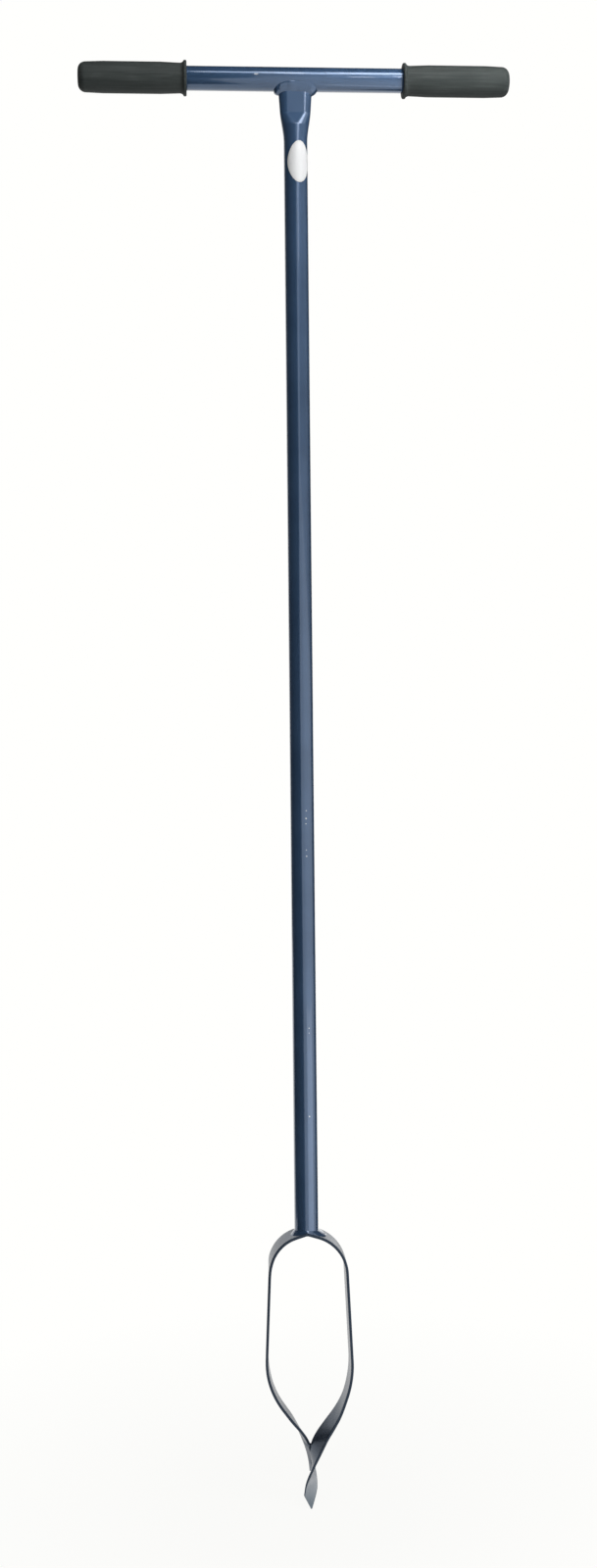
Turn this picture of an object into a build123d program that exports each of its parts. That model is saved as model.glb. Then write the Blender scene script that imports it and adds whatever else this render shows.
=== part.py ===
from build123d import *
import math
import os

# Hand earth auger: a T handle on a long tube, and two blades that meet and twist to a point at its foot.
# Millimetres. +Z runs up the shaft, +X along the crossbar, and the origin lies on the shaft's axis, level
# with the point.

# Shaft, a steel tube squeezed flat at its top
shaft_diameter = 25.0
shaft_wall = 2.0
squeeze_spread = 12.0         # how much wider than the round tube the squeezed end is
squeeze_growth = 4.1          # part of that spread which comes above the crease
flat_length = 23.5            # from under the crossbar down to the crease where the flats end
neck_length = 31.0            # from that crease down to the round tube
neck_ease = 1.7               # how late along the neck the flats come in
neck_sections = 8
flat_rise = 70.0              # degrees at which each pressed flat runs into the rounded side

# Crossbar, a plain steel tube
crossbar_diameter = 25.0
crossbar_wall = 2.0
crossbar_length = 446.0
handle_height = 1500.0        # axis of the crossbar above the point

# Grips, closed rubber sleeves pushed on to the ends of the crossbar
grip_length = 113.0
grip_wall = 3.55              # over the straight middle of the barrel
grip_thin_wall = 2.85         # where the barrel runs out at each end
grip_straight = 60.0          # length of that straight middle
grip_end_wall = 3.5
grip_end_radius = 8.0
grip_fit = 0.05               # between the bore and the tube
flange_wall = 5.65            # from the bore out to the flange's rim
flange_thickness = 3.4
flange_rim = 1.2
hollow_wall = 2.25            # at the bottom of the hollow between the flange and the barrel
hollow_start = 2.0            # from the flange to the bottom of that hollow
hollow_length = 6.0           # from the flange to the start of the barrel

# Blades, flat steel strip bent from the crown to the point. Reaches are from the shaft's axis, each to
# the blade's own side, heights are from the point, and spans run from an upper height to a lower one
blade_width = 30.0
blade_thickness = 2.8
crown_height = 291.5          # middle of the strip on the axis, under the shaft
arm_slope = 17.0              # degrees that each arm falls away from the crown
taper_height = 152.0          # the strips narrow below here
thin_height = 60.0            # and are hammered thinner below here
meet_height = 66.0            # the blades meet edge to edge below here
throw_span = (150.0, 66.0)    # where each blade leaves the middle, so that the two can meet side by side
strip_sections = 12           # sections of the strip in each straight or bent stretch

# Right blade, which runs on to the point
right_arm_reach = 40.2        # corner of arm and leg
right_crown_radius = 42.5     # bend from arm to leg
right_shoulder_reach = 47.2   # corner of leg and inward run
right_shoulder_height = 123.4
right_shoulder_radius = 97.5
right_neck_reach = 5.6        # corner of inward run and neck
right_neck_height = 66.7
right_neck_radius = 66.8
right_throw = 7.5             # forward of the axis where the blades meet
right_relief = 32.0           # degrees that the leading edge is turned outwards to cut the hole
right_relief_span = (119.0, 66.0)
return_span = (66.0, 20.0)    # where the neck comes back towards the middle
point_forward = 2.0           # forward of the axis at the point
screw_angle = 111.0           # right-hand twist of neck and point
screw_span = (73.0, 4.0)
point_reach = 0.3             # middle line of the strip at the very end
point_height = 20.0           # start of the point on the trailing edge
edge_height = 14.8            # start of the point on the leading edge
point_width = 14.5            # width of the strip above the point
nose_offset = 2.0             # very end, from the middle line towards the trailing edge
nose_width = 1.2
nose_thickness = 1.2

# Left blade, whose tail is welded along the right one's trailing edge
left_arm_reach = 37.6
left_crown_radius = 37.6
left_shoulder_reach = 44.0
left_shoulder_height = 131.5
left_shoulder_radius = 93.4
left_neck_reach = -2.9
left_neck_height = 63.5
left_neck_radius = 80.0
left_throw = 6.5              # behind the axis where the blades meet
left_relief = 23.0
left_relief_span = (96.0, 65.0)
tail_reach = -3.4
tail_length = 31.0            # from the corner of inward run and neck down to the uncut end
tail_height = 41.0            # where the tail's slanting end would cross the axis
tail_slant = 20.0             # degrees of that end from level, up towards the right blade
meet_width = 13.0             # width of the strip where the blades meet
tail_width = 5.0              # width of the strip at the uncut end
butt_gap = 0.15               # paint line between the butted edges
trim_depth = 14.0             # depth over which the tail is cut back

# Welds
seam_gap = 2.4                # between the butted ends of the blades, at mid-thickness
seam_root = 0.7               # root of the seam below the crown
weld_side_leg = 6.0           # crossbar weld along the crossbar, past the squeezed end
weld_face_leg = 3.6           # crossbar weld in front of and behind the squeezed end
weld_toe = 0.5                # thickness where a weld runs out
weld_rise = 4.7               # from under the crossbar up to the weld's upper toe
weld_drop = 8.0               # from under the crossbar down to the weld's lower toe
weld_fullness = 0.68          # share of its legs that the crossbar weld has half way up
foot_weld_side = 4.6          # foot weld along the arms
foot_weld_face = 2.2          # foot weld in front of and behind the shaft
foot_weld_height = 7.0        # foot weld up the shaft, from the crown
foot_weld_fullness = 0.55     # share of its legs that the foot weld has half way up
point_weld_radius = 2.3       # bead behind the butted edges of the blades
point_weld_end = 0.9          # radius to which that bead runs out
point_weld_top = 66.0         # height at which the bead starts
point_weld_low = 46.0         # height at which it ends

# Label, a blank oval of thin vinyl round the front of the shaft
label_drop = 22.0             # from the lower end of the neck down to the middle of the label
label_length = 43.6
label_chord = 22.4            # straight across its width
label_turn = 18.0             # degrees from the front towards the right grip
label_thickness = 0.25

shaft_radius = shaft_diameter / 2
crossbar_radius = crossbar_diameter / 2
crossbar_under = handle_height - crossbar_radius
crease_height = crossbar_under - flat_length
neck_bottom = crease_height - neck_length
arm_fall = math.tan(math.radians(arm_slope))
crown_top = crown_height + blade_thickness / 2 / math.cos(math.radians(arm_slope))


def ease(height, span):
    # 0 at the upper height of the span, 1 at its lower height, with a soft start and end
    share = min(max((span[0] - height) / (span[0] - span[1]), 0.0), 1.0)
    return share * share * (3 - 2 * share)


# Squeezed tube: an oval of four arcs whose outline stays as long as the round tube's

def pressed_depth(half_width):
    # half depth left when a round tube of the shaft's size is spread to this half width
    rise = math.radians(flat_rise)
    stretch = math.cos(rise) + math.sin(rise) - 1
    gain = (math.pi / 2 - rise - math.pi / 2 * (1 - math.sin(rise))) / stretch
    return shaft_radius - gain / (math.pi / 2 - gain) * (half_width - shaft_radius)


def oval(half_width, half_depth):
    rise = math.radians(flat_rise)
    spare = (half_width - half_depth) / (math.cos(rise) + math.sin(rise) - 1)
    side = half_depth - spare * (1 - math.sin(rise))
    x = half_width - side + side * math.cos(rise)
    y = side * math.sin(rise)
    outline = [
        ThreePointArc((x, -y), (half_width, 0), (x, y)),
        ThreePointArc((x, y), (0, half_depth), (-x, y)),
        ThreePointArc((-x, y), (-half_width, 0), (-x, -y)),
        ThreePointArc((-x, -y), (0, -half_depth), (x, -y)),
    ]
    return make_face(outline)


end_half_width = shaft_radius + squeeze_spread / 2
crease_half_width = end_half_width - squeeze_growth / 2
flat_half_depth = pressed_depth(crease_half_width)


def neck_half_width(height):
    spread = ease(height, (neck_bottom, crease_height + squeeze_growth * neck_ease))
    return shaft_radius + (crease_half_width - shaft_radius) * spread


def squeezed_half_width(height):
    # above the crease the sides run straight
    low = neck_half_width(crease_height)
    return low + (end_half_width - low) * (height - crease_height) / (handle_height - crease_height)


def shaft_form(inset):
    # the tube's outer form, or its bore when it is set in by the wall
    foot = crown_top - shaft_diameter
    body = Pos(0, 0, foot) * extrude(Circle(shaft_radius - inset), neck_bottom - foot)
    neck = []
    for step in range(neck_sections + 1):
        share = step / neck_sections
        height = neck_bottom + neck_length * share
        half_depth = shaft_radius - (shaft_radius - flat_half_depth) * share ** neck_ease
        neck.append(Pos(0, 0, height) * oval(neck_half_width(height) - inset, half_depth - inset))
    crease = neck[-1]
    end = Pos(0, 0, handle_height) * oval(end_half_width - inset, flat_half_depth - inset)
    return body + loft(neck) + loft([crease, end], ruled=True)


def roof_line(arm_reach, crown_radius, shoulder_reach, shoulder_height):
    # top of one arm and outside of its leg
    corner = Vector(arm_reach, crown_height - arm_reach * arm_fall)
    shoulder = Vector(shoulder_reach, shoulder_height)
    leg = (shoulder - corner).normalized()
    clear = Vector(-leg.Y, leg.X) * blade_thickness / 2
    side = corner + clear
    run = (crown_top - side.X * arm_fall - side.Y) / (leg.Y + leg.X * arm_fall)
    return FilletPolyline(
        (0, crown_top),
        side + leg * run,
        shoulder + clear,
        radius=crown_radius + blade_thickness / 2,
    )


def crown_roof():
    # the crown's top and everything below it, which the foot of the shaft and its weld are cut to
    right = roof_line(right_arm_reach, right_crown_radius, right_shoulder_reach, right_shoulder_height)
    left = roof_line(left_arm_reach, left_crown_radius, left_shoulder_reach, left_shoulder_height)
    left = mirror(left, about=Plane.YZ)
    outline = make_face([*right.edges(), *left.edges(), Line(right @ 1, left @ 1)])
    return extrude(Plane.XZ * outline, blade_width, both=True)


crossbar_place = Pos(0, 0, handle_height) * Rot(0, 90, 0)
crossbar_form = crossbar_place * Cylinder(crossbar_radius, crossbar_length)
crossbar_tube = crossbar_form - crossbar_place * Cylinder(crossbar_radius - crossbar_wall, crossbar_length)

shaft_outer = shaft_form(0)
shaft_tube = shaft_outer - shaft_form(shaft_wall) - crossbar_form - crown_roof()


# Blades: each strip is bent on one line, then narrowed, thrown to one side, turned and twisted

seam_edge = seam_gap / 2


def between(first, second, share):
    return first + (second - first) * min(max(share, 0.0), 1.0)


def strip_thickness(height):
    return between(nose_thickness, blade_thickness, height / thin_height)


def right_halves(height):
    # width of the right strip in front of its middle line, and behind it
    half = between(blade_width, point_width, (taper_height - height) / (taper_height - point_height)) / 2
    front = between(nose_width / 2 - nose_offset, half, height / edge_height)
    back = between(nose_width / 2 + nose_offset, half, height / point_height)
    return front, back


def right_set(height):
    # how far forward the right strip lies, and how far it is turned
    forward = right_throw * ease(height, throw_span)
    forward -= (right_throw - point_forward) * ease(height, return_span)
    turn = right_relief * ease(height, right_relief_span) - screw_angle * ease(height, screw_span)
    return forward, math.radians(turn)


def left_halves(height):
    width = between(blade_width, meet_width, (taper_height - height) / (taper_height - meet_height))
    tail_end = left_neck_height - tail_length
    width -= between(0, meet_width - tail_width, (meet_height - height) / (meet_height - tail_end))
    return width / 2, width / 2


def left_set(height):
    # the left strip is drawn on the right, with its leading edge in front, and then turned half round
    return left_throw * ease(height, throw_span), math.radians(left_relief * ease(height, left_relief_span))


def strip_section(place, along, setting, front, back, thickness):
    # a rectangle square to the strip's line and turned with it
    forward, turn = setting
    outward = Vector(math.cos(turn), math.sin(turn), 0)
    across = Vector(-math.sin(turn), math.cos(turn), 0)
    centre = Vector(place.X, -forward, place.Z) + across * (back - front) / 2
    square = Plane(centre, x_dir=across, z_dir=outward * along.X + Vector(0, 0, along.Z))
    return square * Rectangle(front + back, thickness)


def right_section(place, along):
    return strip_section(place, along, right_set(place.Z), *right_halves(place.Z), strip_thickness(place.Z))


def left_section(place, along):
    return strip_section(place, along, left_set(place.Z), *left_halves(place.Z), strip_thickness(place.Z))


def strip_line(arm_reach, shoulder, neck, end, radii):
    arm_start = (seam_edge, crown_height - seam_edge * arm_fall)
    arm_end = (arm_reach, crown_height - arm_reach * arm_fall)
    return Plane.XZ * FilletPolyline(arm_start, arm_end, shoulder, neck, end, radius=radii)


def along_line(line, section):
    sections = [section(line @ 0, line % 0)]
    for stretch in line.order_edges():
        for step in range(1, strip_sections + 1):
            share = step / strip_sections
            sections.append(section(stretch @ share, stretch % share))
    return loft(sections)


neck_lean = (right_neck_reach - point_reach) / right_neck_height

right_line = strip_line(
    right_arm_reach,
    (right_shoulder_reach, right_shoulder_height),
    (right_neck_reach, right_neck_height),
    (point_reach + neck_lean * point_height, point_height),
    [right_crown_radius, right_shoulder_radius, right_neck_radius],
)
left_line = strip_line(
    left_arm_reach,
    (left_shoulder_reach, left_shoulder_height),
    (left_neck_reach, left_neck_height),
    (tail_reach, left_neck_height - tail_length),
    [left_crown_radius, left_shoulder_radius, left_neck_radius],
)


def make_point(top, bottom):
    # the strip's lean runs out towards the end, which lies level
    sections = []
    for step in range(strip_sections + 1):
        height = between(top, bottom, step / strip_sections)
        along = Vector(-neck_lean * height / point_height, 0, -1).normalized()
        sections.append(right_section(Vector(point_reach + neck_lean * height, 0, height), along))
    return loft(sections)


def neck_places():
    # places and directions on the right strip's line, from above the meeting of the blades down the neck
    *_, bend, straight = right_line.order_edges()
    places = []
    for stretch in (bend, straight):
        for step in range(strip_sections + 1):
            share = step / strip_sections
            places.append((stretch @ share, stretch % share))
    return [spot for count, spot in enumerate(places) if count != strip_sections]


def make_trim():
    # everything in front of the right strip's trailing edge, which the left strip's tail is cut back to,
    # and everything below the tail
    sections = []
    for place, along in neck_places():
        back = right_halves(place.Z)[1] + butt_gap
        sections.append(strip_section(place, along, right_set(place.Z), blade_width, back, trim_depth))
    below = Pos(0, 0, -blade_width) * Box(2 * blade_width, 2 * blade_width, 2 * blade_width)
    return loft(sections) + Pos(0, 0, tail_height) * Rot(0, -tail_slant, 0) * below


right_blade = along_line(right_line, right_section) + make_point(point_height, edge_height)
right_blade += make_point(edge_height, 0)
left_blade = Rot(0, 0, 180) * along_line(left_line, left_section) - make_trim()


# Welds

def make_crown_seam():
    slope = math.radians(arm_slope)
    lean = blade_thickness / 2 * math.sin(slope)
    rise = blade_thickness / 2 * math.cos(slope)
    middle = crown_height - seam_edge * arm_fall
    outline = Polyline(
        (0, crown_top),
        (seam_edge + lean, middle + rise),
        (seam_edge - lean, middle - rise),
        (0, middle - rise - seam_root),
        (-seam_edge + lean, middle - rise),
        (-seam_edge - lean, middle + rise),
        close=True,
    )
    return extrude(Plane.XZ * make_face(outline), blade_width / 2, both=True)


def make_crossbar_weld():
    # a convex bead all round the squeezed end, cut to both tubes
    bead = []
    for share, fullness in ((0.0, 0.0), (0.5, weld_fullness), (1.0, 1.0)):
        height = crossbar_under - weld_drop + (weld_drop + weld_rise) * share
        side = weld_toe + (weld_side_leg - weld_toe) * fullness
        face = weld_toe + (weld_face_leg - weld_toe) * fullness
        bead.append(Pos(0, 0, height) * oval(squeezed_half_width(height) + side, flat_half_depth + face))
    return loft(bead) - crossbar_form - shaft_outer


def make_foot_weld():
    # a skirt round the foot of the shaft, cut to the crown
    top = crown_top + foot_weld_height
    low = crown_top - (shaft_radius + foot_weld_side) * arm_fall - blade_thickness
    skirt = []
    for share, fullness in ((0.0, 1.0), (0.5, foot_weld_fullness), (1.0, 0.0)):
        height = low + (top - low) * share
        along = weld_toe + (foot_weld_side - weld_toe) * fullness
        face = weld_toe + (foot_weld_face - weld_toe) * fullness
        skirt.append(Pos(0, 0, height) * Ellipse(shaft_radius + along, shaft_radius + face))
    return loft(skirt) - crown_roof() - shaft_outer


def make_point_weld():
    # a bead behind the butted edges of the blades
    reach = 2 * point_weld_radius
    bead = []
    seam = []
    for place, along in neck_places():
        forward, turn = right_set(place.Z)
        back = right_halves(place.Z)[1]
        share = (point_weld_top - place.Z) / (point_weld_top - point_weld_low)
        if 0 < share < 1:
            outward = Vector(math.cos(turn), math.sin(turn), 0)
            across = Vector(-math.sin(turn), math.cos(turn), 0)
            square = Plane(
                Vector(place.X, -forward, place.Z) + across * back + outward * strip_thickness(place.Z) / 2,
                x_dir=across,
                z_dir=outward * along.X + Vector(0, 0, along.Z),
            )
            radius = between(point_weld_end, point_weld_radius, 4 * share * (1 - share))
            bead.append(square * Circle(radius))
            thickness = strip_thickness(place.Z)
            seam.append(strip_section(place, along, (forward, turn), reach - back, reach + back, thickness))
    return loft(bead) - loft(seam) - right_blade - left_blade


# Grips

def make_grip(side):
    # turned about the crossbar, from the flange to the closed outer end
    start = crossbar_length / 2 + grip_end_wall - grip_length
    bore_end = grip_length - grip_end_wall
    bore = crossbar_radius + grip_fit
    flange = bore + flange_wall
    hollow = bore + hollow_wall
    barrel = bore + grip_wall
    barrel_end = bore + grip_thin_wall
    barrel_start = flange_thickness + hollow_length
    rim_start = (flange_thickness - flange_rim, flange)
    rim_end = (flange_thickness, flange - flange_rim)
    straight_start = (barrel_start + grip_length - grip_end_radius - grip_straight) / 2
    straight_end = straight_start + grip_straight
    outline = [
        Line((0, bore), (0, flange - flange_rim)),
        RadiusArc((0, flange - flange_rim), (flange_rim, flange), flange_rim),
        Line((flange_rim, flange), rim_start),
        RadiusArc(rim_start, rim_end, flange_rim),
        ThreePointArc(rim_end, (flange_thickness + hollow_start, hollow), (barrel_start, barrel_end)),
        Line((barrel_start, barrel_end), (straight_start, barrel)),
        Line((straight_start, barrel), (straight_end, barrel)),
        Line((straight_end, barrel), (grip_length - grip_end_radius, barrel_end)),
        RadiusArc(
            (grip_length - grip_end_radius, barrel_end),
            (grip_length, barrel_end - grip_end_radius),
            grip_end_radius,
        ),
        Line((grip_length, barrel_end - grip_end_radius), (grip_length, 0)),
        Line((grip_length, 0), (bore_end, 0)),
        Line((bore_end, 0), (bore_end, bore)),
        Line((bore_end, bore), (0, bore)),
    ]
    sleeve = revolve(make_face(outline), axis=Axis.X)
    sleeve = Pos(start, 0, handle_height) * sleeve
    return sleeve if side > 0 else Rot(0, 0, 180) * sleeve


# Label

def make_label():
    skin = Cylinder(shaft_radius + label_thickness, label_length) - Cylinder(shaft_radius, label_length)
    front = Plane((0, 0, 0), x_dir=(1, 0, 0), z_dir=(0, -1, 0))
    cutter = extrude(front * Ellipse(label_chord / 2, label_length / 2), shaft_radius + label_thickness)
    return Pos(0, 0, neck_bottom - label_drop) * Rot(0, 0, label_turn) * (skin & cutter)


pieces = {
    "crossbar_tube": crossbar_tube,
    "shaft_tube": shaft_tube,
    "right_blade": right_blade,
    "left_blade": left_blade,
    "crossbar_weld": make_crossbar_weld(),
    "foot_weld": make_foot_weld(),
    "crown_seam_weld": make_crown_seam(),
    "point_weld": make_point_weld(),
    "right_grip": make_grip(1),
    "left_grip": make_grip(-1),
    "oval_label": make_label(),
}

os.makedirs("parts", exist_ok=True)
for name, solid in pieces.items():
    export_step(solid, f"parts/{name}.step")
    print(name, round(solid.volume, 1))
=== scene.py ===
import bpy
import math
import random
from mathutils import Matrix, Vector, noise


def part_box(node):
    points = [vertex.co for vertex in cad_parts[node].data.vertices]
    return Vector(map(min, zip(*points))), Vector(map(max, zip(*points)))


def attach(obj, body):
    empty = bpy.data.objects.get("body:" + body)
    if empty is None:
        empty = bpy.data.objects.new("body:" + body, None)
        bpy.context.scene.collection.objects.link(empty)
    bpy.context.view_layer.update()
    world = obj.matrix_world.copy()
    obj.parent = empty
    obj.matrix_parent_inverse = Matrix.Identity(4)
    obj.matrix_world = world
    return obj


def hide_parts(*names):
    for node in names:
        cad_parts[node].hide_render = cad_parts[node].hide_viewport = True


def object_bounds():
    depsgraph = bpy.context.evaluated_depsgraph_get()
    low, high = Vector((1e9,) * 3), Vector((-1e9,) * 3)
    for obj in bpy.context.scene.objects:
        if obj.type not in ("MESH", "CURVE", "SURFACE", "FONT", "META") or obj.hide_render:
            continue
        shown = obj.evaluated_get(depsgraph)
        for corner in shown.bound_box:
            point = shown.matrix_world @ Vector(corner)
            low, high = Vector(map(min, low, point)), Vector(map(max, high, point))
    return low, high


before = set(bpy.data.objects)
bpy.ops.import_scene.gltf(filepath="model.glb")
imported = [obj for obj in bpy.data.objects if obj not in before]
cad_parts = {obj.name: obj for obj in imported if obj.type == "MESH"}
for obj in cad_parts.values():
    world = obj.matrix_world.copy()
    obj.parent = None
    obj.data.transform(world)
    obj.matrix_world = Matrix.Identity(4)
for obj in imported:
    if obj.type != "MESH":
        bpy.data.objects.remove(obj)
cadLow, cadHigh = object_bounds()
print("frame loaded with", len(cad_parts), "nodes")


# small tools for the mesh work

def startClean():
    if bpy.context.mode != "OBJECT":
        bpy.ops.object.mode_set(mode="OBJECT")
    bpy.ops.object.select_all(action="DESELECT")


def pickOnly(piece):
    startClean()
    piece.select_set(True)
    bpy.context.view_layer.objects.active = piece


def useModifier(piece, kind, **settings):
    pickOnly(piece)
    modifier = piece.modifiers.new(kind, kind)
    for setting, value in settings.items():
        setattr(modifier, setting, value)
    bpy.ops.object.modifier_apply(modifier=modifier.name)


def cleanMesh(piece, closeEnough=0.000002):
    pickOnly(piece)
    bpy.ops.object.transform_apply(location=True, rotation=True, scale=True)
    bpy.ops.object.mode_set(mode="EDIT")
    bpy.ops.mesh.select_all(action="SELECT")
    bpy.ops.mesh.remove_doubles(threshold=closeEnough)
    bpy.ops.mesh.normals_make_consistent(inside=False)
    bpy.ops.object.mode_set(mode="OBJECT")


def roundEdges(piece, width):
    useModifier(piece, "BEVEL", width=width, segments=2, limit_method="ANGLE")


def cutRings(piece, heights, across=(0, 0, 1)):
    # rings of edges where the shape will bend
    pickOnly(piece)
    bpy.ops.object.mode_set(mode="EDIT")
    for height in heights:
        bpy.ops.mesh.select_all(action="SELECT")
        bpy.ops.mesh.bisect(plane_co=Vector(across) * height, plane_no=across)
    bpy.ops.object.mode_set(mode="OBJECT")


def seatPiece(piece, name, node, material, smoothAngle=35):
    piece.name = name
    piece.data.name = name
    pickOnly(piece)
    bpy.ops.object.shade_smooth_by_angle(angle=math.radians(smoothAngle))
    piece.data.materials.clear()
    piece.data.materials.append(material)
    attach(piece, "root")
    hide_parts(node)
    print(name, "in place,", len(piece.data.polygons), "faces")


def softStep(share):
    share = min(max(share, 0.0), 1.0)
    return share * share * (3 - 2 * share)


# node helper: a socket is linked, anything else is set

def put(tree, kind, inputs, **settings):
    node = tree.nodes.new("ShaderNode" + kind)
    for setting, value in settings.items():
        setattr(node, setting, value)
    for key, value in inputs.items():
        if isinstance(value, bpy.types.NodeSocket):
            tree.links.new(value, node.inputs[key])
        else:
            node.inputs[key].default_value = value
    return node


def newMaterial(name):
    material = bpy.data.materials.new(name)
    material.use_nodes = True
    tree = material.node_tree
    return material, tree, tree.nodes["Principled BSDF"]


def setShader(tree, shader, **values):
    for key, value in values.items():
        socket = shader.inputs[key.replace("_", " ")]
        if isinstance(value, bpy.types.NodeSocket):
            tree.links.new(value, socket)
        else:
            socket.default_value = value


def noiseAt(tree, coords, scale, detail=2.0, stretch=(1, 1, 1)):
    moved = put(tree, "Mapping", {"Vector": coords, "Scale": stretch})
    return put(tree, "TexNoise", {"Vector": moved.outputs[0], "Scale": scale, "Detail": detail}).outputs[0]


def ramp(tree, value, fromLow, fromHigh, toLow=0.0, toHigh=1.0):
    inputs = {"Value": value, "From Min": fromLow, "From Max": fromHigh, "To Min": toLow, "To Max": toHigh}
    return put(tree, "MapRange", inputs).outputs[0]


def mathOf(tree, operation, first, second):
    return put(tree, "Math", {0: first, 1: second}, operation=operation).outputs[0]


def mixColour(tree, share, first, second):
    return put(tree, "Mix", {0: share, 6: first, 7: second}, data_type="RGBA").outputs[2]


def bumpOf(tree, height, strength, depth):
    return put(tree, "Bump", {"Height": height, "Strength": strength, "Distance": depth}).outputs[0]


# navy enamel on tubes and welds, with the chips that the tool has and painted shade in a pore of the foot
# weld

enamel = {
    "deep": (0.050, 0.104, 0.205, 1),
    "pale": (0.062, 0.124, 0.240, 1),
    "cloudScale": 22,
    "cloudSpan": (0.35, 0.65),
    "metallic": 0.35,
    "gloss": (0.21, 0.27),
    "scuffScale": 160,
    "scuffStretch": (1, 1, 0.12),
    "scuffSpan": (0.45, 0.80),
    "coat": 0.9,
    "coatRoughness": 0.06,
    "peelScale": 650,
    "peelStrength": 0.5,
    "peelDepth": 0.00002,
    "primer": (0.62, 0.66, 0.70, 1),
    "raggedScale": 900,
    "raggedReach": 0.0011,    # how far a chip's rim wanders
    "chipCore": 0.7,          # share of the radius that is quite bare
    "chipDepth": 3.0,
    "chips": [  # place on the surface and radius
        ((0.0034, -0.0120, 0.7330), 0.0007),
        ((0.0032, -0.0121, 0.7250), 0.0009),
        ((0.0029, -0.0121, 0.7195), 0.0006),
        ((0.0031, -0.0121, 0.6920), 0.0006),
        ((0.0034, -0.0120, 0.6855), 0.0009),
        ((0.0042, -0.0118, 0.5060), 0.0007),
        ((0.0040, -0.0118, 0.5010), 0.0005),
        ((0.0036, -0.0120, 0.4140), 0.0009),
        ((-0.0426, -0.0124, 1.5013), 0.0008),
        ((-0.0413, -0.0124, 1.5012), 0.0011),
        ((-0.0398, -0.0124, 1.5013), 0.0008),
    ],
    # pore on the foot weld, darkened in colour as painted shade in the hollow
    "pit": ((0.0195, 0.0005, 0.2885), 0.0014),
    "pitFade": (1.5, 0.8),    # shares of that radius between which the painted shade in the pore comes in
    "soot": (0.012, 0.012, 0.010, 1),
}


def makeEnamel():
    material, tree, shader = newMaterial("navyEnamel")
    coords = put(tree, "TexCoord", {}).outputs["Object"]
    clouds = noiseAt(tree, coords, enamel["cloudScale"], 3)
    paint = mixColour(tree, ramp(tree, clouds, *enamel["cloudSpan"]), enamel["deep"], enamel["pale"])
    ragged = put(tree, "TexNoise", {"Vector": coords, "Scale": enamel["raggedScale"], "Detail": 3})
    shake = put(tree, "VectorMath", {0: ragged.outputs["Color"], 1: (0.5, 0.5, 0.5)}, operation="SUBTRACT")
    shake = put(tree, "VectorMath", {0: shake.outputs[0], "Scale": enamel["raggedReach"]}, operation="SCALE")
    shaken = put(tree, "VectorMath", {0: coords, 1: shake.outputs[0]}, operation="ADD").outputs[0]
    bareAndSheen = 0.0
    for place, radius in enamel["chips"]:
        away = put(tree, "VectorMath", {0: shaken, 1: place}, operation="DISTANCE").outputs["Value"]
        chip = ramp(tree, away, radius, radius * enamel["chipCore"])
        bareAndSheen = mathOf(tree, "MAXIMUM", bareAndSheen, chip)
    # painted shade: the pore is darkened in the base colour
    place, radius = enamel["pit"]
    away = put(tree, "VectorMath", {0: shaken, 1: place}, operation="DISTANCE").outputs["Value"]
    sooty = ramp(tree, away, *[radius * share for share in enamel["pitFade"]])
    paint = mixColour(tree, sooty, paint, enamel["soot"])
    scuffs = noiseAt(tree, coords, enamel["scuffScale"], 4, enamel["scuffStretch"])
    wearAndSheen = ramp(tree, scuffs, *enamel["scuffSpan"], *enamel["gloss"])
    peel = noiseAt(tree, coords, enamel["peelScale"], 1)
    height = mathOf(tree, "SUBTRACT", peel, mathOf(tree, "MULTIPLY", bareAndSheen, enamel["chipDepth"]))
    bump = bumpOf(tree, height, enamel["peelStrength"], enamel["peelDepth"])
    setShader(
        tree, shader,
        Base_Color=mixColour(tree, bareAndSheen, paint, enamel["primer"]),
        Metallic=enamel["metallic"], Roughness=wearAndSheen, Normal=bump,
        Coat_Weight=enamel["coat"], Coat_Roughness=enamel["coatRoughness"],
    )
    return material


# satin enamel on the blades, dark along the edges and pale at the point, where the pale steel colour is a
# painted reflection; it follows the strip by its own map

bladeFinish = {
    "deep": (0.064, 0.084, 0.118, 1),
    "pale": (0.096, 0.120, 0.160, 1),
    "blotchScale": 60,
    "blotchSpan": (0.35, 0.70),
    "edge": (0.018, 0.033, 0.058, 1),
    "steel": (0.42, 0.44, 0.47, 1),      # pale steel at the point: a painted reflection of bright light
    "stained": (0.13, 0.17, 0.21, 1),    # and its very end
    "steelSpan": (0.052, 0.036),
    "stainSpan": (0.040, 0.006),
    "pointSheenRagged": 0.012,
    "metallic": (0.65, 0.90),            # of paint and of the painted reflection at the point
    "gloss": (0.26, 0.40),
    "rolledScale": 30,
    "rolledStretch": (0.5, 4, 1),
    "rolledSpan": (0.35, 0.75),
    "coat": 0.15,
    "grainScale": 900,
    "grainStrength": 0.5,
    "grainDepth": 0.00002,
    "edgeFrom": (0.478, 0.492),          # distance from the middle, as a share of the width
    "edgeRagged": 0.03,
    "butt": ((0.069, 0.066), (0.036, 0.033)),    # heights between which the strips' inner edges are joined
}


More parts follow.
